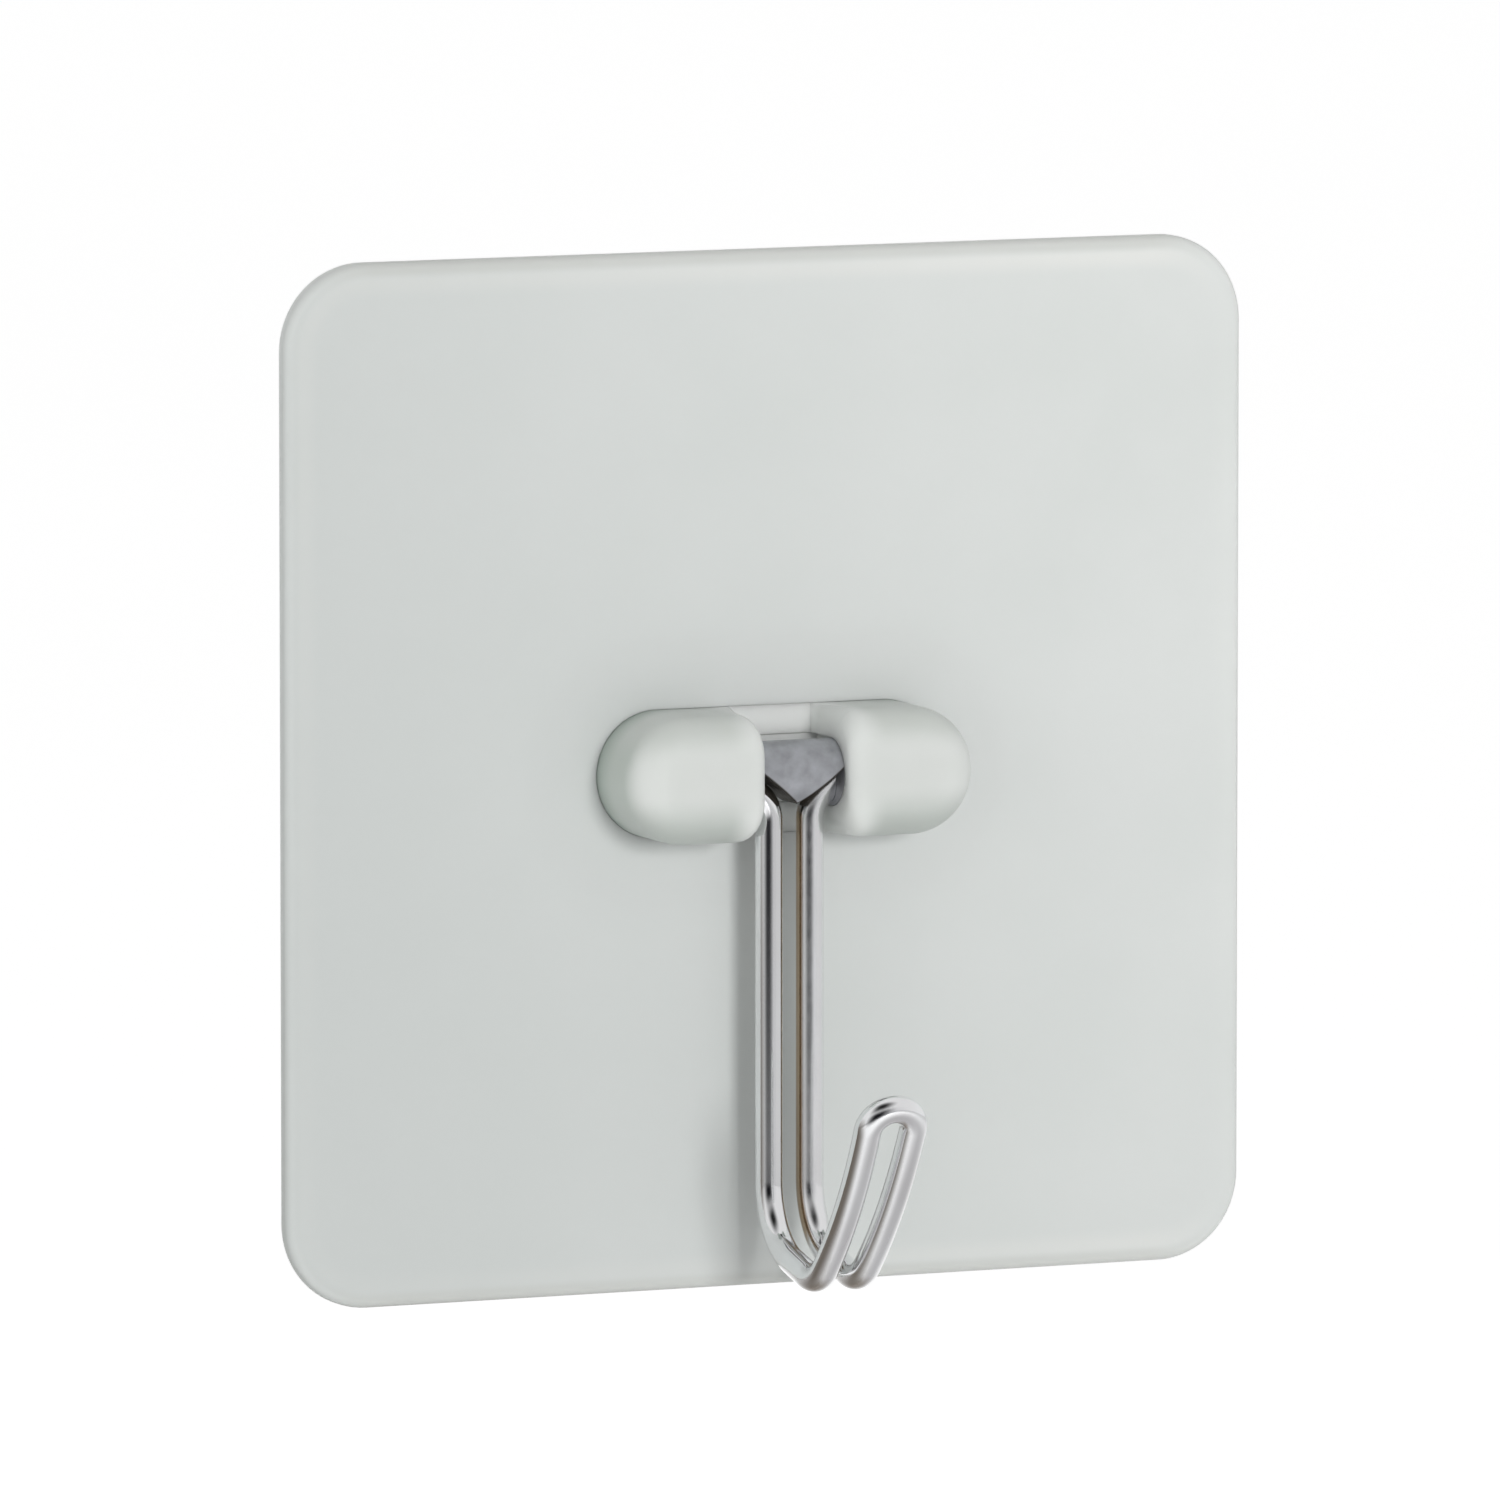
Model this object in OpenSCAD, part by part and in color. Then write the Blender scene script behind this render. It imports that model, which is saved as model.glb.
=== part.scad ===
// Adhesive wall hook: a clear square sheet sticks to the wall, a moulded bracket shows through its
// window, and a doubled wire hook swings on a cast barrel between the bracket's two lobes.
// Millimetres, +Z up. The wall is the plane Y = 0 and the hook faces -Y, so depth means -Y.
// The origin is the middle of the adhesive face that meets the wall.

/* [Sheet] */
// Width and height of the clear sheet
sheet_w = 60; // [45:1:80]
// Thickness of the clear sheet
sheet_t = 1.1; // [0.9:0.1:2]
// Radius of the sheet's four corners
sheet_corner_r = 5; // [3:0.5:10]
// Radius along the sheet's front edge
sheet_edge_r = 0.5; // [0.2:0.05:0.7]
// Depth of the pocket in the sheet's back that takes the bracket's flange
pocket_depth = 0.6; // [0.4:0.05:0.7]

/* [Adhesive] */
// Thickness of the adhesive film
adhesive_t = 0.4; // [0.2:0.1:1]
// Clear margin between the film's edge and the sheet's edge
adhesive_margin = 1; // [0:0.25:3]

/* [Bracket] */
// Width of the slot between the two lobes
slot_w = 5.2; // [4.8:0.1:7]
// Wall above and below the barrel's bearing
side_wall = 1.7; // [1.2:0.1:3]
// Wall in front of the barrel's bearing
front_wall = 1; // [0.6:0.1:2]
// Wall past each end of the barrel's bearing
end_wall = 1.9; // [1.2:0.1:3]
// Radius round the front edge of the lobes
lobe_edge_r = 2; // [0.6:0.1:2.4]
// Radius of the lobes' corners beside the slot
lobe_corner_r = 1.4; // [0.5:0.1:2]
// Radius along the slot's front edges
mouth_r = 0.7; // [0.2:0.05:1]
// How far the flange reaches past the lobes behind the sheet
flange_margin = 4; // [2:0.5:8]

/* [Pivot] */
// Diameter of the pivot barrel
barrel_d = 3.9; // [3.6:0.1:5]
// Length of the pivot barrel
barrel_l = 17; // [14:0.5:24]
// Chamfer at the barrel's ends
barrel_chamfer = 0.3; // [0.1:0.05:0.6]
// Height of the pivot axis in front of the sheet
axis_standoff = 2.9; // [2.7:0.1:4]

/* [Wire] */
// Diameter of the hook's wire
wire_d = 1.6; // [1.2:0.1:1.7]
// Gap between the two strands of the shank
strand_gap = 0.96; // [0.6:0.02:1.1]
// Slope of the strands where they fork under the barrel, in degrees
fork_angle = 38; // [30:1:45]
// Radius of the bends where the strands fork
fork_r = 2; // [1.5:0.1:2.4]
// Depth of the strands below the pivot axis where they enter the barrel
fork_drop = 0.68; // [0.6:0.02:0.76]
// Length of each wire end held inside the barrel
wire_grip = 2; // [1:0.1:2.2]
// Distance from the pivot axis down to the start of the heel bend
shank_l = 23.5; // [15:0.5:40]
// Radius of the heel bend at the foot of the shank
heel_r = 4.4; // [2:0.1:8]
// Turn of the heel bend, in degrees
heel_angle = 76; // [60:1:85]
// Straight length between the heel and toe bends
foot_l = 2.2; // [0.5:0.1:6]
// Radius of the toe bend
toe_r = 2.8; // [1.5:0.1:6]
// Direction of the wire after the toe bend, in degrees from straight down
toe_angle = 135; // [115:1:145]
// Radius of the gently curved leg
leg_r = 32; // [15:1:60]
// Direction of the wire at the end of the leg, in degrees from straight down
leg_angle = 154; // [148:1:165]
// Outward lean of each strand in the leg, in degrees
leg_splay = 0.8; // [0.2:0.1:2]
// How much thinner the wire draws in its bends, on the radius
bend_draw = 0.01; // [0.008:0.001:0.015]

/* [Clearances] */
// Running clearance round the barrel, on the radius
bearing_clear = 0.05; // [0.02:0.01:0.1]
// End play of the barrel in its bearing, at each end
end_play = 0.4; // [0.2:0.05:0.8]
// Clearance round the bracket in the sheet's window and pocket
seat_clear = 0.1; // [0.05:0.05:0.3]
// Clearance round the keeper in the bracket's channel
keeper_clear = 0.04; // [0.02:0.01:0.1]
// Clearance round the wire in the barrel's seats
wire_clear = 0.02; // [0.01:0.01:0.04]

/* [Hidden] */
$fn = 96;

// Depths in front of the wall
sheet_back = adhesive_t;
sheet_front = adhesive_t + sheet_t;
flange_front = sheet_back + pocket_depth - seat_clear / 2;
axis_depth = sheet_front + axis_standoff;
bore_r = barrel_d / 2 + bearing_clear;
lobe_front = axis_depth + bore_r + front_wall;

// Outline of the bracket and its bearing channel
bore_l = barrel_l + 2 * end_play;
bracket_l = bore_l + 2 * end_wall;
bracket_h = 2 * (bore_r + side_wall);
end_r = bracket_h / 2;
end_x = bracket_l / 2 - end_r;
slot_x = slot_w / 2;
flat_left = 0.2;
edge_r = min(lobe_edge_r, end_r - flat_left, lobe_front - sheet_front - flat_left);
corner_r = min(lobe_corner_r, end_r - flat_left, end_x - slot_x - flat_left);
slot_edge_r = min(mouth_r, front_wall - flat_left);

// Keeper: a bar flush with the sheet, with a saddle behind each end of the barrel.
// Each saddle reaches this far round the barrel to both sides, in degrees from straight behind it.
keeper_h = 2 * (bore_r - keeper_clear);
keeper_l = bore_l - 2 * keeper_clear;
saddle_angle = 53;
saddle_front = axis_depth - bore_r * cos(saddle_angle);
saddle_x = slot_x + end_play;

// Wire
lap = 0.05;
wire_r = wire_d / 2;
strand_x = (strand_gap + wire_d) / 2;
seat_r = wire_r + wire_clear;
fork_seat = seat_r / cos(fork_angle);
notch_top = fork_seat - fork_drop;
notch_ridge = notch_top - slot_x * tan(fork_angle);
fork_turn = 90 - fork_angle;
fork_tangent = fork_r * tan(fork_turn / 2);
fork_corner_drop = fork_drop + (slot_x - strand_x) * tan(fork_angle);
fork_start = fork_corner_drop + fork_tangent;
fork_run = (slot_x - strand_x) / cos(fork_angle) - fork_tangent + wire_grip - lap;
leg_rise = toe_r * (1 - sin(toe_angle)) + leg_r * (sin(toe_angle) - sin(leg_angle));
leg_x = strand_x + leg_rise * sin(leg_splay);
tip_lean = asin(-cos(leg_angle) * sin(leg_splay));
tip_twist = asin(sin(leg_angle) * sin(leg_splay) / cos(tip_lean));
tip_r = leg_x / cos(tip_lean);
spare = 1;

// Carries a drawing in the XZ plane to a slab between two depths
module slab(from, to) {
    translate([0, -from, 0])
        rotate([90, 0, 0])
            linear_extrude(to - from)
                children();
}

// A square with round corners, drawn about the origin
module round_square(width, radius) {
    square([width, width - 2 * radius], center = true);
    square([width - 2 * radius, width], center = true);
    for (x = [-1, 1], y = [-1, 1])
        translate([x, y] * (width / 2 - radius))
            circle(radius);
}

// A pill lying along X
module pill(length, height) {
    square([length - height, height], center = true);
    for (x = [-1, 1])
        translate([x * (length - height) / 2, 0])
            circle(d = height);
}

// Half of the lobes' section: from the middle out to a straight side, with a round front edge
module lobe_section() {
    depth = lobe_front - flange_front;
    square([end_r - edge_r, depth]);
    square([end_r, depth - edge_r]);
    translate([end_r - edge_r, depth - edge_r])
        intersection() {
            circle(edge_r);
            square(edge_r);
        }
}

// The pill-shaped body that the slot divides into two lobes
module lobe_body() {
    translate([0, -flange_front, 0])
        rotate([90, 0, 0]) {
            for (side = [0, 1])
                mirror([side, 0, 0])
                    translate([end_x, 0, 0])
                        rotate([0, 0, -90])
                            rotate_extrude(angle = 180)
                                lobe_section();
            rotate([90, 0, 90])
                translate([0, 0, -end_x])
                    linear_extrude(2 * end_x) {
                        lobe_section();
                        mirror([1, 0])
                            lobe_section();
                    }
        }
}

// What a corner at the origin, with its solid right and below, loses when it is rounded off
module corner_cut(radius) {
    difference() {
        translate([-spare, -radius])
            square(radius + spare);
        translate([radius, -radius])
            circle(radius);
    }
}

// The slot between the lobes, seen from the front: straight walls that round off at the lobes' corners
module slot_plan() {
    square([slot_w, bracket_h + 2 * spare], center = true);
    for (x = [0, 1], z = [0, 1])
        mirror([x, 0])
            mirror([0, z])
                translate([slot_x, end_r])
                    corner_cut(corner_r);
}

// The slot's mouth, seen from above: its front edges round off towards the lobes' fronts
module slot_mouth() {
    rotate([180, 0, 0])
        linear_extrude(bracket_h + 2 * spare, center = true)
            for (side = [0, 1])
                mirror([side, 0])
                    translate([slot_x, lobe_front])
                        corner_cut(slot_edge_r);
}

// The bearing channel along X: round in front, straight-sided and open to the back
module channel(length) {
    translate([-length / 2, 0, 0])
        rotate([90, 0, 90])
            linear_extrude(length) {
                translate([-axis_depth, 0])
                    circle(bore_r);
                translate([-axis_depth, -bore_r])
                    square([axis_depth + spare, 2 * bore_r]);
            }
}

// A rod along X on the pivot axis
module axis_rod(radius, length) {
    translate([0, -axis_depth, 0])
        rotate([0, 90, 0])
            cylinder(r = radius, h = length, center = true);
}

// A straight length of wire running down, with what follows at its far end.
// It laps the bends at its ends, and a run of no length just joins two bends.
module run(length) {
    translate([0, 0, -length]) {
        translate([0, 0, -lap])
            cylinder(r = wire_r, h = length + 2 * lap);
        children();
    }
}

// A bend towards the front, with what follows at its far end
module bend(radius, angle) {
    translate([0, -radius, 0]) {
        rotate([-90, 0, 90])
            rotate_extrude(angle = angle)
                translate([radius, 0])
                    circle(wire_r - bend_draw);
        rotate([-angle, 0, 0])
            translate([0, radius, 0])
                children();
    }
}

// A turn about the wire's own axis, which sets the plane of the next bend
module twist(angle) {
    rotate([0, 0, angle])
        children();
}

// One strand: its forked end, the shank, the bowl and the leg, with what follows at the leg's end
module strand() {
    translate([strand_x, -axis_depth, -fork_start]) {
        rotate([180, 0, -90])
            bend(fork_r, fork_turn)
                run(fork_run);
        run(shank_l - fork_start)
            bend(heel_r, heel_angle)
                run(foot_l)
                    bend(toe_r, 90 - heel_angle)
                        run(0)
                            twist(leg_splay)
                                bend(toe_r, toe_angle - 90)
                                    run(0)
                                        bend(leg_r, leg_angle - toe_angle)
                                            run(0)
                                                children();
    }
}

// Clear sheet with a round front edge, a window for the lobes and a pocket for the flange
module front_sheet() {
    flat_t = sheet_t - sheet_edge_r;
    edge_x = sheet_w / 2 - sheet_edge_r;
    bend_x = sheet_w / 2 - sheet_corner_r;
    color([0.84, 0.86, 0.85, 0.75])
        difference() {
            union() {
                slab(sheet_back, sheet_back + flat_t)
                    round_square(sheet_w, sheet_corner_r);
                slab(sheet_back + flat_t, sheet_front)
                    round_square(sheet_w - 2 * sheet_edge_r, sheet_corner_r - sheet_edge_r);
                for (turn = [0 : 90 : 270])
                    rotate([0, turn, 0])
                        translate([0, -sheet_back - flat_t, 0]) {
                            translate([edge_x, 0, 0])
                                cylinder(r = sheet_edge_r, h = 2 * bend_x, center = true);
                            translate([bend_x, 0, bend_x])
                                rotate([90, 0, 0])
                                    rotate_extrude(angle = 90)
                                        translate([sheet_corner_r - sheet_edge_r, 0])
                                            circle(sheet_edge_r);
                        }
            }
            slab(sheet_back - spare, sheet_front + spare)
                pill(bracket_l + 2 * seat_clear, bracket_h + 2 * seat_clear);
            slab(sheet_back - spare, sheet_back + pocket_depth)
                pill(
                    bracket_l + 2 * (flange_margin + seat_clear),
                    bracket_h + 2 * (flange_margin + seat_clear)
                );
        }
}

// Adhesive film behind the sheet
module adhesive_film() {
    color([0.93, 0.94, 0.92, 0.8])
        slab(0, adhesive_t)
            round_square(sheet_w - 2 * adhesive_margin, sheet_corner_r - adhesive_margin);
}

// Moulded bracket: a flange behind the sheet, two lobes in front and a bearing channel open to the back
module hook_bracket() {
    color([0.86, 0.89, 0.86])
        difference() {
            union() {
                slab(sheet_back, flange_front)
                    pill(bracket_l + 2 * flange_margin, bracket_h + 2 * flange_margin);
                lobe_body();
            }
            slab(sheet_front, lobe_front + spare)
                slot_plan();
            slot_mouth();
            channel(bore_l);
        }
}

// Keeper that closes the channel behind the barrel
module axle_keeper() {
    color([0.8, 0.83, 0.8])
        difference() {
            union() {
                slab(sheet_back, sheet_front)
                    square([keeper_l, keeper_h], center = true);
                slab(sheet_back, saddle_front)
                    difference() {
                        square([keeper_l, keeper_h], center = true);
                        square([2 * saddle_x, keeper_h + spare], center = true);
                    }
            }
            axis_rod(bore_r, bore_l + spare);
        }
}

// Barrel cast round the wire's ends, notched underneath where the strands fork
module pivot_barrel() {
    color([0.58, 0.59, 0.61])
        difference() {
            union() {
                axis_rod(barrel_d / 2, barrel_l - 2 * barrel_chamfer);
                axis_rod(barrel_d / 2 - barrel_chamfer, barrel_l);
            }
            slab(axis_depth - barrel_d, axis_depth + barrel_d)
                polygon([
                    [0, notch_ridge],
                    [slot_x, notch_top],
                    [slot_x, -barrel_d],
                    [-slot_x, -barrel_d],
                    [-slot_x, notch_top]
                ]);
            for (side = [0, 1])
                mirror([side, 0, 0])
                    translate([slot_x, -axis_depth, -fork_drop])
                        rotate([0, fork_turn, 0])
                            translate([0, 0, -spare])
                                cylinder(r = seat_r, h = wire_grip + wire_clear + spare);
        }
}

// Hook bent from one doubled wire, whose two strands meet in the tip loop
module hook_wire() {
    color([0.8, 0.8, 0.82]) {
        strand()
            twist(-90 - tip_twist)
                bend(tip_r, 180 + 2 * tip_lean);
        mirror([1, 0, 0])
            strand();
    }
}

front_sheet();
adhesive_film();
hook_bracket();
axle_keeper();
pivot_barrel();
hook_wire();
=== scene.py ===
# %% [markdown]
# # A stick-on wall hook, modelled by hand
# The object is a milky square sheet that sticks to a wall. A small moulded bracket stands in a window
# in the sheet, and a chromed wire hook hangs between its two lobes on a dull metal barrel.
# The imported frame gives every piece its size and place, so each step below starts from a box in it.
# A keeper bar behind the barrel can't be seen, so it keeps the frame's mesh and only gets a finish.

# %% Load the frame
import math

import bmesh
import bpy
from mathutils import Matrix, Vector


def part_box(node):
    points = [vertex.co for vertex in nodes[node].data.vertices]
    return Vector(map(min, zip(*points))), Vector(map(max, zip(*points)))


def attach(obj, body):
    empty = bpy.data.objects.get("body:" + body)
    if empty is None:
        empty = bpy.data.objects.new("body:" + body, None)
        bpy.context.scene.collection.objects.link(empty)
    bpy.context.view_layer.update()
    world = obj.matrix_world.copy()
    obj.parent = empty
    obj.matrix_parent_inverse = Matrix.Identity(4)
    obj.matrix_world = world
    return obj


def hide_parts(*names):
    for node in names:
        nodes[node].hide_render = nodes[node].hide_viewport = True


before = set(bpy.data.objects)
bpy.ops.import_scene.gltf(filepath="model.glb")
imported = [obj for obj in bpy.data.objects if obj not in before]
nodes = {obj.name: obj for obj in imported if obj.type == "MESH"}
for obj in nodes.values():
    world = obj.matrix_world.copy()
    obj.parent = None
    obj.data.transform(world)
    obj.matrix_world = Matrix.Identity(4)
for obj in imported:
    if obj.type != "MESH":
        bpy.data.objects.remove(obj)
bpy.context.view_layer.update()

MM = 0.001
for name in nodes:
    low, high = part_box(name)
    print(name, [round(size / MM, 2) for size in high - low], "mm")

# %% [markdown]
# ## A few habits
# An operator acts on whatever is selected, and the loaded frame leaves its nodes selected. So every
# step first clears the selection, makes one piece active, and picks vertices or edges by their place.
# These small helpers keep that in one spot.

# %% Helpers for selecting
NEAR = 0.002 * MM


def clear_selection():
    if bpy.context.object and bpy.context.object.mode != "OBJECT":
        bpy.ops.object.mode_set(mode="OBJECT")
    bpy.ops.object.select_all(action="DESELECT")


def take(piece):
    clear_selection()
    piece.select_set(True)
    bpy.context.view_layer.objects.active = piece


def named(name):
    """Puts the new primitive's place and size into its mesh, and names it."""
    bpy.ops.object.transform_apply(location=True, rotation=True, scale=True)
    piece = bpy.context.object
    piece.name = name
    piece.data.name = name
    return piece


def pick(piece, kind, wanted):
    """In edit mode, selects the vertices or edges that are wanted."""
    if piece.mode != "EDIT":
        take(piece)
        bpy.ops.object.mode_set(mode="EDIT")
    bpy.ops.mesh.select_mode(type=kind)
    bpy.ops.mesh.select_all(action="DESELECT")
    cage = bmesh.from_edit_mesh(piece.data)
    for element in {"VERT": cage.verts, "EDGE": cage.edges}[kind]:
        if wanted(element):
            element.select_set(True)
    cage.select_flush_mode()
    bmesh.update_edit_mesh(piece.data)


def at_depth(depth):
    """Matches an edge whose two ends lie that far in front of the wall."""
    return lambda edge: all(abs(v.co.y + depth) < NEAR for v in edge.verts)


def along(axis):
    """Matches an edge that runs along X, Y or Z, given as 0, 1 or 2."""
    def runs(edge):
        way = (edge.verts[0].co - edge.verts[1].co).normalized()
        return abs(way[axis]) > 0.999
    return runs


print("two points count as one place when they are within", NEAR / MM, "mm")

# %% [markdown]
# Three more helpers do the steps that every piece needs: rounding the picked edges, cutting or fusing
# two solids, and cleaning up at the end. The cleaning prints each piece's box, to compare with the frame.

# %% Helpers for shaping
def round_off(radius, segments):
    bpy.ops.mesh.bevel(
        offset=radius, offset_type="OFFSET", segments=segments, profile=0.5, affect="EDGES"
    )


def combine(piece, other, operation):
    """Cuts other out of piece, or fuses it on, and deletes it."""
    take(piece)
    step = piece.modifiers.new(operation.lower(), "BOOLEAN")
    step.object = other
    step.operation = operation
    step.solver = "EXACT"
    bpy.ops.object.modifier_apply(modifier=step.name)
    bpy.data.meshes.remove(other.data)


def settle(piece, sharp_deg=30):
    """Merges doubles, turns the faces outwards and smooths what isn't a sharp edge."""
    take(piece)
    bpy.ops.object.mode_set(mode="EDIT")
    bpy.ops.mesh.select_all(action="SELECT")
    bpy.ops.mesh.remove_doubles(threshold=NEAR / 4)
    bpy.ops.mesh.normals_make_consistent(inside=False)
    bpy.ops.object.mode_set(mode="OBJECT")
    bpy.ops.object.shade_smooth_by_angle(angle=math.radians(sharp_deg))
    box = []
    for axis in range(3):
        places = [v.co[axis] / MM for v in piece.data.vertices]
        box.append(f"{min(places):.2f}..{max(places):.2f}")
    print(piece.name, len(piece.data.polygons), "faces,", box, "mm")


# %% [markdown]
# ## Sizes taken from the frame
# Depths are counted from the wall, towards the viewer. What a box can't tell, such as a radius, is
# written once as a real size, in the step that first needs it.

# %% Sizes
sheet_low, sheet_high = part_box("front_sheet")
film_low, film_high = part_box("adhesive_film")
bracket_low, bracket_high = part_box("hook_bracket")
barrel_low, barrel_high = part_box("pivot_barrel")

sheet_w = sheet_high.x - sheet_low.x
sheet_back = -sheet_high.y
sheet_front = -sheet_low.y
film_w = film_high.x - film_low.x
film_back = -film_high.y
film_front = -film_low.y
flange_l = bracket_high.x - bracket_low.x
flange_h = bracket_high.z - bracket_low.z
flange_margin = 4 * MM
lobes_l = flange_l - 2 * flange_margin
lobes_h = flange_h - 2 * flange_margin
lobe_front = -bracket_low.y
barrel_l = barrel_high.x - barrel_low.x
barrel_r = (barrel_high.z - barrel_low.z) / 2
axis_depth = -(barrel_low.y + barrel_high.y) / 2
print(f"sheet {sheet_w / MM:.1f} mm wide, lobes {lobes_l / MM:.1f} x {lobes_h / MM:.1f} mm")
print(f"barrel {2 * barrel_r / MM:.1f} mm thick, its axis {axis_depth / MM:.2f} mm in front of the wall")

# %% [markdown]
# ## Plates and pills
# Two outlines repeat. The sheet and its film are square plates with round corners, so a cube gets its
# four corner edges bevelled. The bracket and the window it fills are pills, so a cylinder facing the
# viewer has its two halves pulled apart. Both keep clean, evenly spaced edges for later bevels.

# %% Rounded plate and pill
corner_steps = 20
pill_sides = 96


def rounded_plate(name, width, near, far, corner_r):
    clear_selection()
    bpy.ops.mesh.primitive_cube_add(
        size=1, location=(0, -(near + far) / 2, 0), scale=(width, far - near, width)
    )
    plate = named(name)
    pick(plate, "EDGE", along(1))
    round_off(corner_r, corner_steps)
    return plate


def pill(name, length, height, near, far):
    clear_selection()
    bpy.ops.mesh.primitive_cylinder_add(
        vertices=pill_sides, radius=height / 2, depth=far - near,
        location=(0, -(near + far) / 2, 0), rotation=(math.pi / 2, 0, 0),
    )
    body = named(name)
    reach = (length - height) / 2
    for side in (-1, 1):
        pick(body, "VERT", lambda v: side * v.co.x > NEAR and abs(v.co.x) < height / 2 + NEAR)
        bpy.ops.transform.translate(value=(side * reach, 0, 0))
    return body


print("plates have", corner_steps, "steps to a corner, and pills", pill_sides, "sides")

# %% [markdown]
# ## The milky sheet
# A square of clear vinyl with a soft front edge. Its window lets the bracket through, and a shallow
# pocket behind takes the bracket's flange. A plate gets its front edge rounded and its back edge
# eased, and two pills are then cut out of it, which is how a punch and a press would make it.

# %% Model the sheet
sheet_corner_r = 5 * MM
sheet_edge_r = 0.5 * MM
back_edge_r = 0.12 * MM
seam = 0.02 * MM
pocket_depth = 0.6 * MM
pocket_play = 0.1 * MM
overcut = 1 * MM

sheet = rounded_plate("milky_sheet", sheet_w, sheet_back, sheet_front, sheet_corner_r)
pick(sheet, "EDGE", at_depth(sheet_front))
round_off(sheet_edge_r, 6)
pick(sheet, "EDGE", at_depth(sheet_back))
round_off(back_edge_r, 3)
window = pill(
    "window_cut", lobes_l + 2 * seam, lobes_h + 2 * seam,
    sheet_back - overcut, sheet_front + overcut,
)
combine(sheet, window, "DIFFERENCE")
pocket = pill(
    "pocket_cut", flange_l + 2 * pocket_play, flange_h + 2 * pocket_play,
    sheet_back - overcut, sheet_back + pocket_depth,
)
combine(sheet, pocket, "DIFFERENCE")
settle(sheet)

# %% [markdown]
# ## The adhesive film
# A soft clear layer behind the sheet, cut a little smaller so that its edge stays hidden. Its back
# edge is rounded, as a squeezed gel edge is.

# %% Model the film
film_corner_r = sheet_corner_r - (sheet_w - film_w) / 2
film_edge_r = 0.1 * MM

film = rounded_plate("clear_film", film_w, film_back, film_front - seam, film_corner_r)
pick(film, "EDGE", at_depth(film_back))
round_off(film_edge_r, 3)
settle(film)

# %% [markdown]
# ## The bracket
# One moulding: a thin flange that stays behind the sheet and a pill-shaped body in front, with a slot
# through its middle. The body is a pill whose front rim is rounded, and a block cuts the slot.

# %% Model the bracket's lobes
flange_t = 0.55 * MM
lobe_edge_r = 2 * MM
slot_x = 2.6 * MM
slot_top = lobe_front + overcut

bracket = pill("moulded_bracket", lobes_l, lobes_h, sheet_back + flange_t / 2, lobe_front)
pick(bracket, "EDGE", at_depth(lobe_front))
round_off(lobe_edge_r, 12)

clear_selection()
bpy.ops.mesh.primitive_cube_add(
    size=1, location=(0, -(sheet_front + slot_top) / 2, 0),
    scale=(2 * slot_x, slot_top - sheet_front, lobes_h + 2 * overcut),
)
combine(bracket, named("slot_cut"), "DIFFERENCE")
print("bracket with its slot:", len(bracket.data.polygons), "faces")

# %% [markdown]
# The slot's rims are rounded too, as on any moulding that has to leave its tool. The radius is wide at
# the lobes' corners and finer along their fronts. So the rim's edges get a bevel weight by their
# height, and a Bevel modifier follows the weights.

# %% Round the slot's rims
lobe_corner_r = 1.4 * MM
mouth_r = 0.7 * MM
flat_half = lobes_h / 2 - lobe_edge_r


def is_slot_rim(edge):
    """An edge of the slot's walls, leaving out the floor's."""
    on_wall = all(abs(abs(v.co.x) - slot_x) < NEAR for v in edge.verts)
    return on_wall and not at_depth(sheet_front)(edge)


pick(bracket, "EDGE", is_slot_rim)
cage = bmesh.from_edit_mesh(bracket.data)
edge_values = cage.edges.layers.float
weights = edge_values.get("bevel_weight_edge") or edge_values.new("bevel_weight_edge")
for edge in cage.edges:
    if edge.select:
        height = sum(abs(v.co.z) for v in edge.verts) / 2
        share = min(1, max(0, (height - flat_half) / lobe_edge_r))
        edge[weights] = (mouth_r + share * (lobe_corner_r - mouth_r)) / lobe_corner_r
bmesh.update_edit_mesh(bracket.data)
take(bracket)
rounding = bracket.modifiers.new("slot_rim", "BEVEL")
rounding.limit_method = "WEIGHT"
rounding.width = lobe_corner_r
rounding.segments = 8
rounding.use_clamp_overlap = False
bpy.ops.object.modifier_apply(modifier=rounding.name)
print("bracket with rounded rims:", len(bracket.data.polygons), "faces")

# %% [markdown]
# The bearing for the barrel is a channel along X: round in front and open to the back, where a keeper
# closes it. The flange is fused on behind, and a cylinder joined to a block then cuts the channel.

# %% Add the flange and cut the bearing
bearing_clear = 0.05 * MM
end_play = 0.4 * MM
bore_r = barrel_r + bearing_clear
bore_l = barrel_l + 2 * end_play

flange = pill("flange", flange_l, flange_h, sheet_back + seam, sheet_back + flange_t)
combine(bracket, flange, "UNION")
clear_selection()
bpy.ops.mesh.primitive_cylinder_add(
    vertices=64, radius=bore_r, depth=bore_l,
    location=(0, -axis_depth, 0), rotation=(0, math.pi / 2, 0),
)
bore = named("bore_cut")
clear_selection()
bpy.ops.mesh.primitive_cube_add(
    size=1, location=(0, -axis_depth / 2, 0), scale=(bore_l, axis_depth, 2 * bore_r)
)
combine(bore, named("channel_cut"), "UNION")
combine(bracket, bore, "DIFFERENCE")
settle(bracket, 35)

# %% [markdown]
# ## The barrel
# A short casting that both wire ends are set in. It turns inside the lobes, and between them its
# underside is keel-shaped, so that the forked wires can reach it. A cylinder along X has its ends
# rounded, and a block with its top pushed down into a V cuts the underside.

# %% Model the barrel
fork_angle = math.radians(38)
fork_drop = 0.68 * MM
wire_r = 0.8 * MM
wire_clear = 0.02 * MM
barrel_end_r = 0.3 * MM
seat_r = wire_r + wire_clear
keel_top = (seat_r + seam) / math.cos(fork_angle) - fork_drop
keel_ridge = keel_top - slot_x * math.tan(fork_angle)
keel_block = 3 * barrel_r

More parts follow.
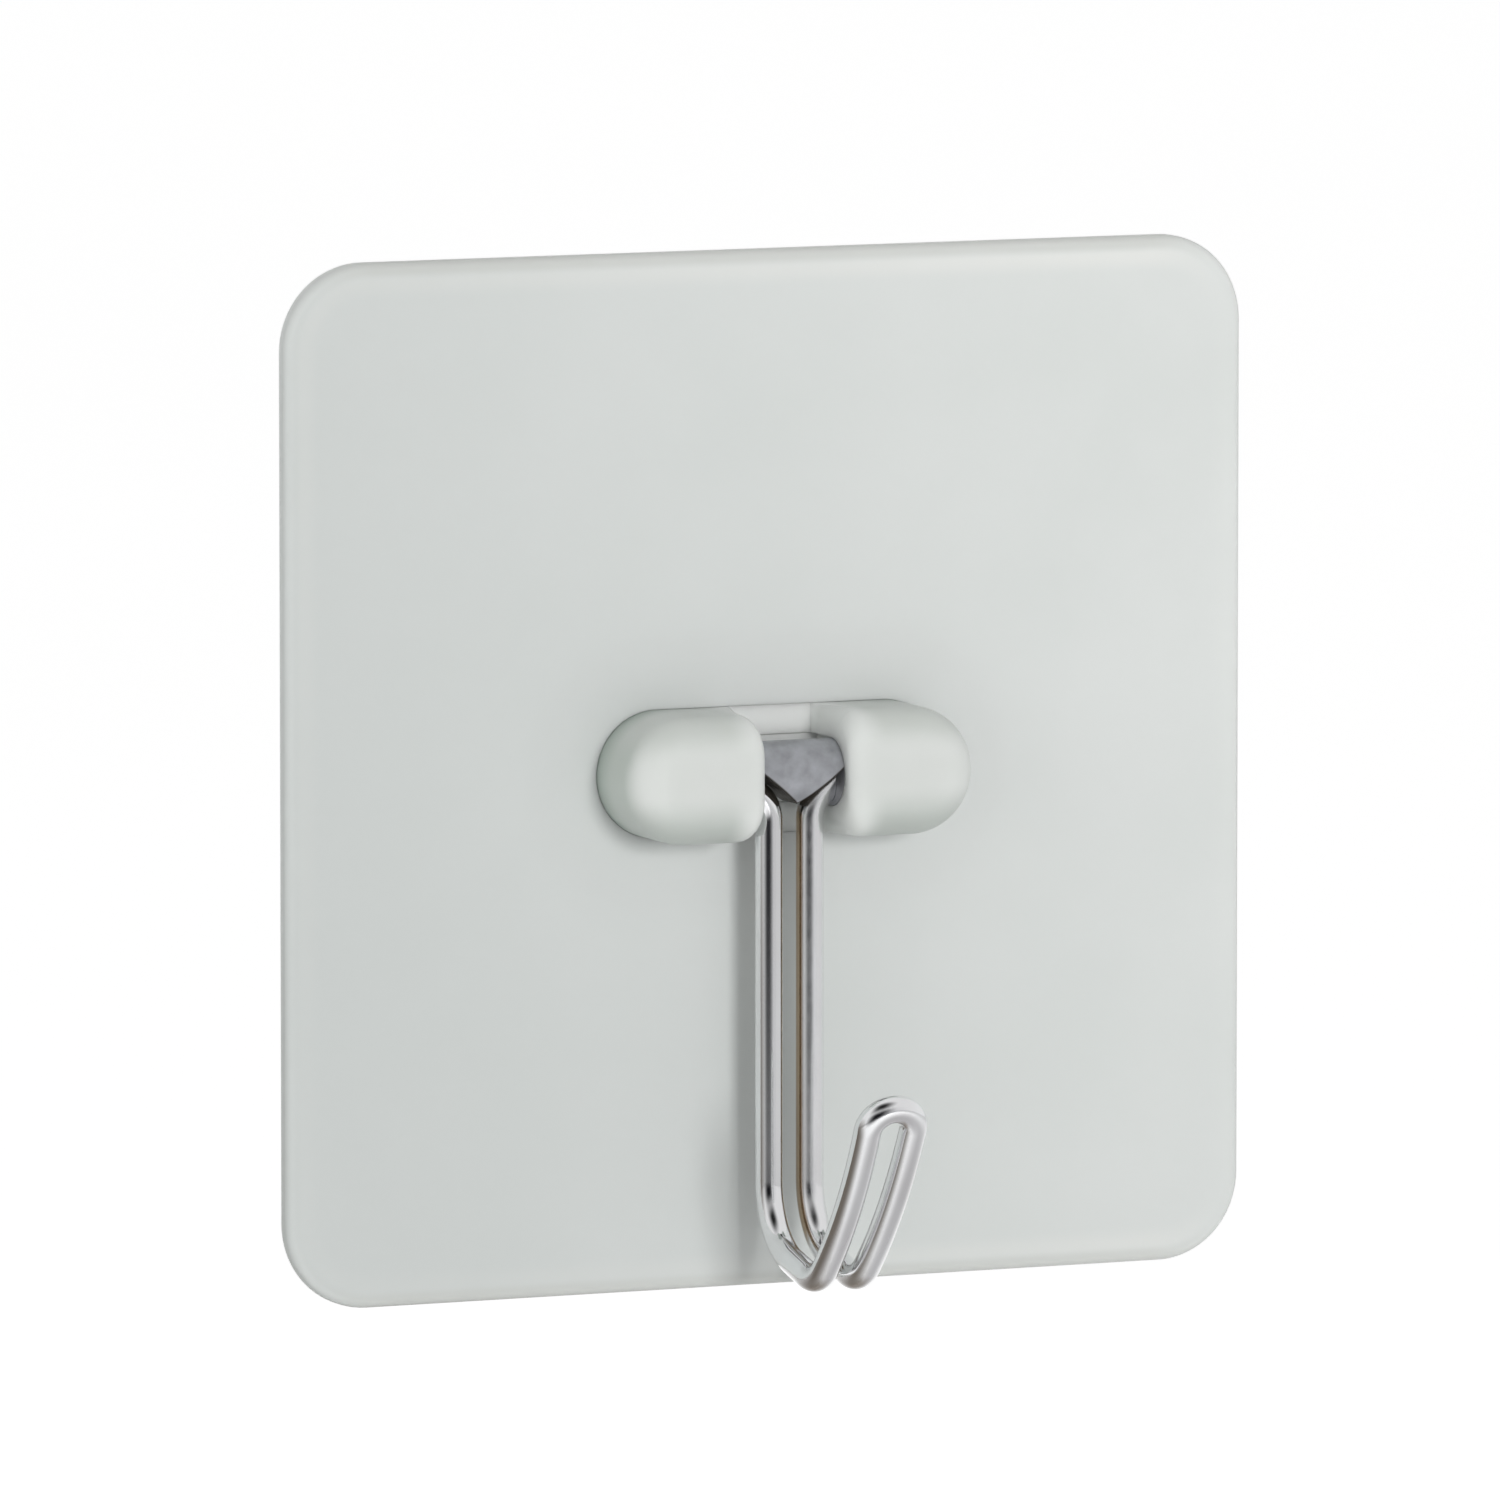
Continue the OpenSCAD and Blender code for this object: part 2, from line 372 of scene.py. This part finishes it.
clear_selection()
bpy.ops.mesh.primitive_cylinder_add(
    vertices=80, radius=barrel_r, depth=barrel_l,
    location=(0, -axis_depth, 0), rotation=(0, math.pi / 2, 0),
)
barrel = named("cast_barrel")
pick(barrel, "EDGE", lambda edge: not along(0)(edge))
round_off(barrel_end_r, 3)

clear_selection()
bpy.ops.mesh.primitive_cube_add(
    size=1, location=(0, -axis_depth, keel_top - keel_block / 2),
    scale=(2 * slot_x, keel_block, keel_block),
)
keel = named("keel_cut")
pick(keel, "EDGE", along(0))
bpy.ops.mesh.subdivide(number_cuts=1)
pick(keel, "VERT", lambda v: abs(v.co.x) < NEAR and v.co.z > keel_top - NEAR)
bpy.ops.transform.translate(value=(0, 0, keel_ridge - keel_top))
combine(barrel, keel, "DIFFERENCE")
print(f"keel ridge at {keel_ridge / MM:.2f} mm from the axis")

# %% [markdown]
# Two round seats, drilled along the fork's slope, take the ends of the wire.

# %% Drill the wire's seats
wire_grip = 2 * MM
fork_way = Vector((math.cos(fork_angle), 0, math.sin(fork_angle)))

for side in (-1, 1):
    out = Vector((side * fork_way.x, 0, fork_way.z))
    entry = Vector((side * slot_x, -axis_depth, -fork_drop))
    clear_selection()
    bpy.ops.mesh.primitive_cylinder_add(
        vertices=48, radius=seat_r, depth=2 * wire_grip, location=entry,
        rotation=out.to_track_quat("Z", "Y").to_euler(),
    )
    combine(barrel, named("seat_cut"), "DIFFERENCE")
settle(barrel)

# %% [markdown]
# ## The wire
# One chromed wire, doubled on itself and bent into a hook. It is made the way a bender makes it: a
# circle is fed forward with extrude and turned with spin, and the place and heading of its end are
# kept as it goes. One strand runs from its seat in the barrel to the middle of the tip loop.

# %% Start one strand
strand_x = 1.28 * MM
fork_r = 2 * MM
fork_turn = math.pi / 2 - fork_angle
fork_tangent = fork_r * math.tan(fork_turn / 2)
fork_run = (slot_x - strand_x) / math.cos(fork_angle) - fork_tangent
fork_start = fork_drop + (slot_x - strand_x) * math.tan(fork_angle) + fork_tangent

end = Vector((slot_x, -axis_depth, -fork_drop)) + wire_grip * fork_way
heading = -fork_way
inside = Vector((math.sin(fork_angle), 0, -math.cos(fork_angle)))


def feed(length, steps):
    """Pushes the wire's end straight on."""
    global end
    for _ in range(steps):
        bpy.ops.mesh.extrude_region_move(TRANSFORM_OT_translate={"value": heading * (length / steps)})
    end = end + heading * length


def bend(radius, angle, steps):
    """Turns the wire's end about a centre on its inside."""
    global end, heading, inside
    centre = end + radius * inside
    axis = heading.cross(inside)
    bpy.ops.mesh.spin(steps=steps, angle=-angle, center=centre, axis=axis)
    turn = Matrix.Rotation(angle, 3, axis)
    end = centre + turn @ (end - centre)
    heading = turn @ heading
    inside = turn @ inside


clear_selection()
bpy.ops.mesh.primitive_circle_add(
    vertices=40, radius=wire_r, fill_type="NGON", location=end,
    rotation=heading.to_track_quat("Z", "Y").to_euler(),
)
wire = named("chromed_wire")
print("strand starts at", [round(value / MM, 3) for value in end], "mm")

# %% [markdown]
# The bends follow the wire's path in the photograph: the fork, a straight shank, a heel, a short foot,
# a toe and a long, gently curved leg. The strands splay a little in the leg, so the bending plane is
# turned part of the way round the toe. The last bend brings the end square to the middle plane.

# %% Bend the strand
shank_l = 23.5 * MM
heel_r = 4.4 * MM
heel_deg = 76
foot_l = 2.2 * MM
toe_r = 2.8 * MM
toe_deg = 135
leg_r = 32 * MM
leg_deg = 154
splay_deg = 0.8

take(wire)
bpy.ops.object.mode_set(mode="EDIT")
bpy.ops.mesh.select_mode(type="EDGE")
bpy.ops.mesh.select_all(action="SELECT")
bpy.ops.mesh.region_to_loop()
feed(wire_grip + fork_run, 4)
bend(fork_r, fork_turn, 14)
feed(shank_l - fork_start, 12)
inside = Vector((0, -1, 0))
bend(heel_r, math.radians(heel_deg), 20)
feed(foot_l, 2)
bend(toe_r, math.radians(90 - heel_deg), 4)
inside = Matrix.Rotation(-math.radians(splay_deg), 3, heading) @ inside
bend(toe_r, math.radians(toe_deg - 90), 12)
bend(leg_r, math.radians(leg_deg - toe_deg), 12)
to_middle = Vector((-1, 0, 0))
inside = (to_middle - to_middle.dot(heading) * heading).normalized()
bend(-end.x / inside.x, heading.angle(to_middle), 16)
print("strand ends at", [round(value / MM, 3) for value in end], "mm")
print("its end heads along", [round(value, 3) for value in heading])

# %% [markdown]
# The other strand is the same wire coming back. A mirror gives it, and the two ends merge at the tip
# into one closed loop.

# %% Mirror it into the doubled wire
bpy.ops.object.mode_set(mode="OBJECT")
double = wire.modifiers.new("other_strand", "MIRROR")
double.use_axis = (True, False, False)
double.merge_threshold = 2 * NEAR
bpy.ops.object.modifier_apply(modifier=double.name)
settle(wire, 60)

# %% [markdown]
# ## Materials
# Every finish is a small node tree on Object coordinates, which are true to size here because each
# piece sits at the origin. These helpers start a tree with its shader and place, and make the values
# that steer it.

# %% Helpers for values
def new_material(name):
    material = bpy.data.materials.new(name)
    material.use_nodes = True
    tree = material.node_tree
    shader = tree.nodes["Principled BSDF"]
    place = tree.nodes.new("ShaderNodeTexCoord").outputs["Object"]
    return material, tree, shader, place


def axes_of(tree, vector):
    """Splits a place into its X, Y and Z."""
    node = tree.nodes.new("ShaderNodeSeparateXYZ")
    tree.links.new(vector, node.inputs["Vector"])
    return node.outputs["X"], node.outputs["Y"], node.outputs["Z"]


def noise(tree, place, size, detail, stretch=(1, 1, 1)):
    """Noise whose blotches are about that size, in metres."""
    mapping = tree.nodes.new("ShaderNodeMapping")
    mapping.inputs["Scale"].default_value = [s / size for s in stretch]
    tree.links.new(place, mapping.inputs["Vector"])
    texture = tree.nodes.new("ShaderNodeTexNoise")
    texture.inputs["Scale"].default_value = 1.0
    texture.inputs["Detail"].default_value = detail
    tree.links.new(mapping.outputs["Vector"], texture.inputs["Vector"])
    return texture.outputs["Fac"]


def spread(tree, value, low, high, to_low=0.0, to_high=1.0, smooth=False):
    """Maps a value from one range to another, with its ends held."""
    node = tree.nodes.new("ShaderNodeMapRange")
    node.interpolation_type = "SMOOTHSTEP" if smooth else "LINEAR"
    node.inputs["From Min"].default_value = low
    node.inputs["From Max"].default_value = high
    node.inputs["To Min"].default_value = to_low
    node.inputs["To Max"].default_value = to_high
    tree.links.new(value, node.inputs["Value"])
    return node.outputs["Result"]


def rise(tree, value, low, high):
    """Goes smoothly from nought at low to one at high."""
    return spread(tree, value, low, high, smooth=True)


def fall(tree, value, low, high, rest=0.0):
    """Goes smoothly from one at low to nought, or to a rest, at high."""
    return spread(tree, value, low, high, 1.0, rest, smooth=True)


def math_node(tree, operation, first, second=0.0):
    node = tree.nodes.new("ShaderNodeMath")
    node.operation = operation
    for socket, value in zip(node.inputs, (first, second)):
        if isinstance(value, bpy.types.NodeSocket):
            tree.links.new(value, socket)
        else:
            socket.default_value = value
    return node.outputs["Value"]


def product(tree, first, second):
    return math_node(tree, "MULTIPLY", first, second)


def size_of(tree, value):
    return math_node(tree, "ABSOLUTE", value)


print("helpers for values ready; materials so far:", len(bpy.data.materials))

# %% [markdown]
# Colours are written as the grey that a screen shows, with a slight tint, and turned into the linear
# values that a shader takes. The other helpers here set what the finishes share: a colour between two
# others, a roughness that wanders, a bump, and light that goes a little way in.

# %% Helpers for finishes
def grey(level, tint=(1, 1, 1)):
    """A screen grey from 0 to 255, as a linear colour."""
    values = []
    for t in tint:
        share = level * t / 255
        values.append(share / 12.92 if share <= 0.04045 else ((share + 0.055) / 1.055) ** 2.4)
    return tuple(values)


def mix(tree, factor, first, second):
    """Mixes two colours, each a value or a socket."""
    node = tree.nodes.new("ShaderNodeMix")
    node.data_type = "RGBA"
    tree.links.new(factor, node.inputs["Factor"])
    for socket, colour in ((node.inputs["A"], first), (node.inputs["B"], second)):
        if isinstance(colour, bpy.types.NodeSocket):
            tree.links.new(colour, socket)
        else:
            socket.default_value = (*colour, 1)
    return node.outputs["Result"]


def paint(tree, shader, colour):
    tree.links.new(colour, shader.inputs["Base Color"])


def roughen(tree, shader, grain, smoothest, roughest):
    """Lets the roughness wander between two values with a noise."""
    tree.links.new(spread(tree, grain, 0.3, 0.7, smoothest, roughest), shader.inputs["Roughness"])


def bump(tree, shader, height, distance, strength):
    node = tree.nodes.new("ShaderNodeBump")
    node.inputs["Strength"].default_value = strength
    node.inputs["Distance"].default_value = distance
    tree.links.new(height, node.inputs["Height"])
    tree.links.new(node.outputs["Normal"], shader.inputs["Normal"])


def let_light_in(shader, weight, depth):
    shader.inputs["Subsurface Weight"].default_value = weight
    shader.inputs["Subsurface Radius"].default_value = (1.0, 1.0, 1.0)
    shader.inputs["Subsurface Scale"].default_value = depth


def dress(piece, material):
    piece.data.materials.clear()
    piece.data.materials.append(material)


print("a screen grey of 218 is", round(grey(218)[0], 3), "to a shader")

# %% [markdown]
# ### Milky vinyl
# The sheet is clear vinyl over whitish glue, so it reads as a cool pale grey with a faint green cast.
# Some of its tones follow its outline. So the first step measures how far a point lies from the edge,
# round the corners too.

# %% Distance from the sheet's edge
vinyl, tree, shader, place = new_material("milky_vinyl")
x, _, z = axes_of(tree, place)
straight = sheet_w / 2 - sheet_corner_r
squares = []
for axis in (x, z):
    beyond = math_node(tree, "SUBTRACT", size_of(tree, axis), straight)
    squares.append(math_node(tree, "POWER", math_node(tree, "MAXIMUM", beyond, 0.0), 2.0))
from_corner = math_node(tree, "SQRT", math_node(tree, "ADD", *squares))
inset = math_node(tree, "SUBTRACT", sheet_corner_r, from_corner)
print("edge distance:", len(tree.nodes), "nodes, corners from", round(straight / MM, 1), "mm outwards")

# %% [markdown]
# The field is softly clouded, and painted shade darkens it towards the lower left. A thin pale line runs
# about a millimetre inside the edge, where the film ends, and fades out on the right. The very rim is a
# little darker and warmer along the top and bottom. The surface has a slight ripple from calendering.

# %% Sheet finish
line_strength = 0.45
painted_shade_strength = 0.8
rim_strength = 0.4
fade_from = 0.4 * sheet_w
fade_to = 0.48 * sheet_w

clouds = spread(tree, noise(tree, place, 14 * MM, detail=3.0), 0.35, 0.65)
colour = mix(tree, clouds, grey(218, (0.985, 1.0, 0.99)), grey(221, (0.988, 1.0, 0.992)))
line_in = rise(tree, inset, 0.5 * MM, 1.1 * MM)
line = product(tree, line_in, fall(tree, inset, 1.2 * MM, 2.2 * MM))
line = product(tree, line, fall(tree, x, fade_from, fade_to, rest=0.1))
colour = mix(tree, product(tree, line, line_strength), colour, grey(230, (1.0, 1.0, 0.985)))
# Painted shade: the sheet's colour darkens towards the lower left, as falling-off light would.
slant = math_node(tree, "ADD", x, product(tree, z, 0.5))
painted_shade = spread(tree, slant, -0.6 * sheet_w, 0.6 * sheet_w, 1.0, 0.0)
colour = mix(tree, product(tree, painted_shade, painted_shade_strength), colour, grey(196, (0.98, 1.0, 0.992)))
rim = fall(tree, inset, 0.45 * MM, 1.0 * MM)
rim = product(tree, rim, fall(tree, size_of(tree, x), fade_from, fade_to, rest=0.15))
colour = mix(tree, product(tree, rim, rim_strength), colour, grey(186, (1.0, 1.0, 0.97)))
paint(tree, shader, colour)
roughen(tree, shader, noise(tree, place, 3 * MM, detail=4.0), smoothest=0.30, roughest=0.42)
bump(tree, shader, noise(tree, place, 6 * MM, detail=1.0), distance=0.02 * MM, strength=0.6)
let_light_in(shader, weight=0.6, depth=1.2 * MM)
shader.inputs["IOR"].default_value = 1.5
dress(sheet, vinyl)
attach(sheet, "base")
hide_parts("front_sheet")
print("sheet finish:", len(tree.nodes), "nodes")

# %% [markdown]
# ### Clear glue
# The film is a soft acrylic glue: cloudy, a little clear, wet-looking, with tiny trapped specks.

# %% Film finish
glue, tree, shader, place = new_material("clear_glue")
clouds = spread(tree, noise(tree, place, 9 * MM, detail=3.0), 0.35, 0.65)
colour = mix(tree, clouds, grey(228), grey(234, (1, 1, 0.99)))
specks = spread(tree, noise(tree, place, 0.7 * MM, detail=2.0), 0.66, 0.74)
paint(tree, shader, mix(tree, specks, colour, grey(245)))
roughen(tree, shader, noise(tree, place, 2 * MM, detail=3.0), smoothest=0.12, roughest=0.26)
bump(tree, shader, noise(tree, place, 2.5 * MM, detail=2.0), distance=0.03 * MM, strength=0.5)
shader.inputs["IOR"].default_value = 1.47
shader.inputs["Transmission Weight"].default_value = 0.25
dress(film, glue)
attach(film, "base")
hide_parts("adhesive_film")
print("film finish:", len(tree.nodes), "nodes")

# %% [markdown]
# ### Moulded plastic
# The bracket and its keeper are a milky, slightly green plastic with a satin skin. Painted shade makes
# the lobes darker and greener towards their top, bottom, ends and root, and painted light makes the
# slot's floor paler. So a few masks first tell these places apart.

# %% Places on the bracket
plastic, tree, shader, place = new_material("milky_plastic")
x, y, z = axes_of(tree, place)
sideways = size_of(tree, x)
in_slot = spread(tree, sideways, slot_x, 4 * MM, 1.0, 0.0)
# Painted light: the slot's floor is made paler than the rest of the bracket.
slot_floor_painted_light = product(tree, rise(tree, y, -2.5 * MM, -1.6 * MM), in_slot)
off_slot = rise(tree, sideways, 3.4 * MM, 5 * MM)
# Masks for painted shade on the lobes: their rounded sides, top, bottom, and root by the sheet.
behind_front_painted_shade = product(tree, rise(tree, y, 0.5 * MM - lobe_front, 2.2 * MM - lobe_front), off_slot)
upper_painted_shade = product(tree, rise(tree, z, 1.2 * MM, 3 * MM), off_slot)
lower = product(tree, fall(tree, z, -3 * MM, -0.6 * MM), off_slot)
root_painted_shade = product(tree, rise(tree, y, -3.8 * MM, -1.5 * MM), rise(tree, sideways, 4 * MM, 9 * MM))
print("places on the bracket:", len(tree.nodes), "nodes")

# %% [markdown]
# The painted light and shade go on one over another, and light goes a little way into the plastic, which
# softens its shaded sides.

# %% Bracket and keeper finish
clouds = spread(tree, noise(tree, place, 5 * MM, detail=3.0), 0.35, 0.65)
skin = mix(tree, clouds, grey(213, (0.985, 1.0, 0.985)), grey(215, (0.988, 1.0, 0.988)))
# Painted light on the slot floor, then painted shade on the lobes.
tones = (
    (slot_floor_painted_light, grey(234, (0.988, 1.0, 0.988))),
    (behind_front_painted_shade, grey(194, (0.965, 1.0, 0.97))),
    (upper_painted_shade, grey(202, (0.98, 1.0, 0.98))),
    (lower, grey(186, (0.97, 1.0, 0.975))),
    (root_painted_shade, grey(176, (0.935, 1.0, 0.955))),
)
for mask, tone in tones:
    skin = mix(tree, mask, skin, tone)
paint(tree, shader, skin)
roughen(tree, shader, noise(tree, place, 4 * MM, detail=2.0), smoothest=0.33, roughest=0.4)
bump(tree, shader, noise(tree, place, 2.5 * MM, detail=1.0), distance=0.004 * MM, strength=0.2)
let_light_in(shader, weight=0.8, depth=2 * MM)
shader.inputs["IOR"].default_value = 1.49
dress(bracket, plastic)
dress(nodes["axle_keeper"], plastic)
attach(bracket, "base")
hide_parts("hook_bracket")
print("bracket finish:", len(tones), "tones,", len(tree.nodes), "nodes")

# %% [markdown]
# ### Dull casting
# The barrel is raw die-cast metal: grey, a little blue, with a fine sandy grain. The faces of its keel
# lie deep in the fork, so a mask follows the keel's slope and paints dark brown shade on them.

# %% Barrel finish
zinc, tree, shader, place = new_material("dull_casting")
x, _, z = axes_of(tree, place)
clouds = spread(tree, noise(tree, place, 0.9 * MM, detail=4.0), 0.3, 0.7)
colour = mix(tree, clouds, grey(156, (0.98, 0.99, 1.015)), grey(178, (0.98, 0.99, 1.02)))
sideways = size_of(tree, x)
keel_z = math_node(tree, "ADD", product(tree, sideways, math.tan(fork_angle)), keel_ridge)
above_keel = math_node(tree, "SUBTRACT", z, keel_z)
in_slot = spread(tree, sideways, slot_x - 0.02 * MM, slot_x, 1.0, 0.0)
# Painted shade: the keel's faces in the fork are painted dark brown.
keel_painted_shade = product(tree, fall(tree, above_keel, 0.02 * MM, 0.16 * MM), in_slot)
paint(tree, shader, mix(tree, keel_painted_shade, colour, grey(52, (1.0, 0.88, 0.74))))
roughen(tree, shader, noise(tree, place, 0.4 * MM, detail=3.0), smoothest=0.42, roughest=0.58)
bump(tree, shader, noise(tree, place, 0.22 * MM, detail=3.0), distance=0.02 * MM, strength=0.8)
shader.inputs["Metallic"].default_value = 0.6
dress(barrel, zinc)
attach(barrel, "hook")
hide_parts("pivot_barrel")
print("barrel finish:", len(tree.nodes), "nodes")

# %% [markdown]
# ### Chrome
# Bright plating over drawn wire. It mirrors the room, with a faint waviness from the wire under it.
# The narrow gap between the shank's strands is dull and gets a painted dark brown shade, and the shank's
# right strand is a little hazy.

# %% Wire finish
haze_roughness = 0.15

chrome, tree, shader, place = new_material("bright_chrome")
x, y, _ = axes_of(tree, place)
on_shank = rise(tree, y, -6.5 * MM, -5.5 * MM)
in_gap = product(tree, fall(tree, size_of(tree, x), 0.5 * MM, 0.68 * MM), on_shank)
on_right = product(tree, rise(tree, x, 0.4 * MM, 0.7 * MM), on_shank)
streaks = spread(tree, noise(tree, place, 3 * MM, detail=3.0, stretch=(1, 1, 0.3)), 0.35, 0.65)
plate = mix(tree, streaks, grey(238, (0.995, 0.995, 1.0)), grey(246, (0.99, 0.995, 1.0)))
# Painted shade: the flanks in the gap between the shank's strands are tinted dull brown.
paint(tree, shader, mix(tree, in_gap, plate, grey(178, (1.0, 0.89, 0.76))))
wear = spread(tree, noise(tree, place, 0.8 * MM, detail=4.0), 0.35, 0.7, 0.05, 0.11)
haze = product(tree, math_node(tree, "MAXIMUM", in_gap, on_right), haze_roughness)
tree.links.new(math_node(tree, "ADD", wear, haze), shader.inputs["Roughness"])
waves = noise(tree, place, 1.2 * MM, detail=2.0, stretch=(1, 1, 0.4))
bump(tree, shader, waves, distance=0.01 * MM, strength=0.35)
shader.inputs["Metallic"].default_value = 1.0
dress(wire, chrome)
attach(wire, "hook")
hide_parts("hook_wire")
print("wire finish:", len(tree.nodes), "nodes")

# %% [markdown]
# ## Camera
# The view was fitted to the sheet's four edges in the photograph: 23.7 degrees to the left, 6.3 above,
# with a long lens. The small shift puts the sheet's middle where it lies in the frame.

# %% Camera
view_distance = 1044.1 * MM
frame_px = 1500
middle_px = (758.56, 765.84)
lens_deg = 4.745


def direction(azimuth_deg, elevation_deg):
    """Points away from the object: azimuth 0 is straight in front of it, and 90 to its right."""
    a = math.radians(azimuth_deg)
    e = math.radians(elevation_deg)
    return Vector((math.sin(a) * math.cos(e), -math.cos(a) * math.cos(e), math.sin(e)))


def looking_back(way):
    """The turn of a camera, lamp or card that stands on that side and faces the object."""
    return way.to_track_quat("Z", "Y").to_euler()


scene = bpy.context.scene
camera_data = bpy.data.cameras.new("camera")
camera = bpy.data.objects.new("camera", camera_data)
scene.collection.objects.link(camera)
view_way = direction(-23.686, 6.304)
camera.location = view_way * view_distance
camera.rotation_euler = looking_back(view_way)
camera_data.sensor_width = 36
camera_data.lens = camera_data.sensor_width / 2 / math.tan(math.radians(lens_deg) / 2)
camera_data.shift_x = (frame_px / 2 - middle_px[0]) / frame_px
camera_data.shift_y = (middle_px[1] - frame_px / 2) / frame_px
camera_data.clip_start = 0.01
camera_data.clip_end = 50
scene.camera = camera
print("lens", round(camera_data.lens), "mm, at", [round(value, 3) for value in camera.location], "m")

# %% [markdown]
# ## Light and stage
# A plain white studio. The surround is white for what the camera and the metal see, and dimmer as a
# light, so that the lamps can shape the object.

# %% World
fill_strength = 0.42
white_strength = 1.0

scene.view_settings.view_transform = "Standard"
world = bpy.data.worlds.new("studio")
scene.world = world
world.use_nodes = True
tree = world.node_tree
fill = tree.nodes["Background"]
fill.inputs["Color"].default_value = (1, 1, 1, 1)
fill.inputs["Strength"].default_value = fill_strength
white = tree.nodes.new("ShaderNodeBackground")
white.inputs["Strength"].default_value = white_strength
path = tree.nodes.new("ShaderNodeLightPath")
mirrored = math_node(tree, "MAXIMUM", path.outputs["Is Glossy Ray"], path.outputs["Is Transmission Ray"])
seen = math_node(tree, "MAXIMUM", path.outputs["Is Camera Ray"], mirrored)
either = tree.nodes.new("ShaderNodeMixShader")
tree.links.new(seen, either.inputs["Fac"])
tree.links.new(fill.outputs["Background"], either.inputs[1])
tree.links.new(white.outputs["Background"], either.inputs[2])
tree.links.new(either.outputs["Shader"], tree.nodes["World Output"].inputs["Surface"])
print("surround:", fill_strength, "as a light,", white_strength, "as seen")

# %% [markdown]
# A soft key stands almost straight in front, so the camera, which stands to the left, sees the shank's
# shadow on the left of the shank. One fill lights the left side and another the back, for views from
# there. None of them is mirrored in the metal.

# %% Lamps
lamps = (
    ("key", 2.5, 9, 0.7, 0.17, 2.5),
    ("left_fill", -78, 12, 0.8, 0.5, 1.4),
    ("back_fill", 170, 20, 0.8, 0.4, 3.2),
)
for name, azimuth_deg, elevation_deg, distance, size, watts in lamps:
    lamp_data = bpy.data.lights.new(name, "AREA")
    lamp_data.size = size
    lamp_data.energy = watts
    lamp = bpy.data.objects.new(name, lamp_data)
    scene.collection.objects.link(lamp)
    way = direction(azimuth_deg, elevation_deg)
    lamp.location = way * distance
    lamp.rotation_euler = looking_back(way)
    lamp.visible_glossy = False
    print("lamp", name, watts, "W")

# %% [markdown]
# The floor is white paper well below the hook. It glows a little towards the camera and the metal, so
# that it reads about as white as the surround.

# %% Floor
floor_w = 12
floor_z = -0.16
camera_glow = 0.62
metal_glow = 0.25

clear_selection()
bpy.ops.mesh.primitive_plane_add(size=floor_w, location=(0, 0, floor_z))
floor = named("floor")
paper, tree, shader, place = new_material("white_paper")
fibres = noise(tree, place, 0.4, detail=2.0)
paint(tree, shader, mix(tree, fibres, (0.80, 0.80, 0.80), (0.82, 0.82, 0.82)))
shader.inputs["Roughness"].default_value = 0.9
shader.inputs["Emission Color"].default_value = (1, 1, 1, 1)
path = tree.nodes.new("ShaderNodeLightPath")
to_camera = product(tree, path.outputs["Is Camera Ray"], camera_glow)
to_metal = product(tree, path.outputs["Is Glossy Ray"], metal_glow)
tree.links.new(math_node(tree, "ADD", to_camera, to_metal), shader.inputs["Emission Strength"])
dress(floor, paper)
print("floor", floor_w, "m wide, at", floor_z, "m")

# %% [markdown]
# Chrome shows only what is round it, and a white room alone would leave it blank. A photographer hangs
# cards, called flags, where the metal mirrors them. Each one here is soft-edged and seen in reflections
# only. The camera and ceiling flags are almost black and give the dark cores, the room flag greys the
# front, and the table, floor and rear flags shade the leg and the bowl from below.

# %% Flags
hook_middle = Vector((0, -10 * MM, -16 * MM))
soft_share = 0.45


def bell(tree, value):
    """Goes smoothly from nought at one side to one in the middle, and back."""
    return product(tree, rise(tree, value, 0.0, soft_share), fall(tree, value, 1.0 - soft_share, 1.0))


def flag(name, azimuth_deg, elevation_deg, distance, size, colour, cover):
    """Hangs a card that faces the hook, with its distance and size in metres."""
    clear_selection()
    way = direction(azimuth_deg, elevation_deg)
    bpy.ops.mesh.primitive_plane_add(
        size=1, location=hook_middle + way * distance, rotation=looking_back(way)
    )
    bpy.context.object.scale = (size[0], size[1], 1)
    card = named(name)
    felt, tree, shader, place = new_material(name + "_felt")
    shader.inputs["Base Color"].default_value = (0, 0, 0, 1)
    shader.inputs["Specular IOR Level"].default_value = 0
    shader.inputs["Emission Color"].default_value = (*colour, 1)
    shader.inputs["Emission Strength"].default_value = 1.0
    across, upward, _ = axes_of(tree, place.node.outputs["UV"])
    middle = product(tree, bell(tree, across), bell(tree, upward))
    tree.links.new(product(tree, middle, cover), shader.inputs["Alpha"])
    dress(card, felt)
    card.visible_camera = False
    card.visible_diffuse = False
    card.visible_shadow = False
    card.visible_transmission = False
    print("flag", name, size, "m")


flag("camera_flag", -29, 4, 0.15, (0.32, 0.19), (0.01, 0.01, 0.012), 1.0)
flag("room_flag", 5, 0, 0.24, (0.40, 0.3), (0.35, 0.36, 0.40), 0.2)
flag("ceiling_flag", -36, 52, 0.17, (0.30, 0.24), (0.02, 0.02, 0.02), 1.0)
flag("table_flag", -116, -30, 0.055, (0.17, 0.14), (0.12, 0.10, 0.08), 0.95)
flag("floor_flag", 62, -63, 0.09, (0.22, 0.22), (0.36, 0.35, 0.36), 0.75)
flag("rear_flag", -172, -58, 0.08, (0.13, 0.13), (0.20, 0.17, 0.14), 0.9)

# %% [markdown]
# ## Finish
# The selection is cleared at the end.

# %% Finish
clear_selection()
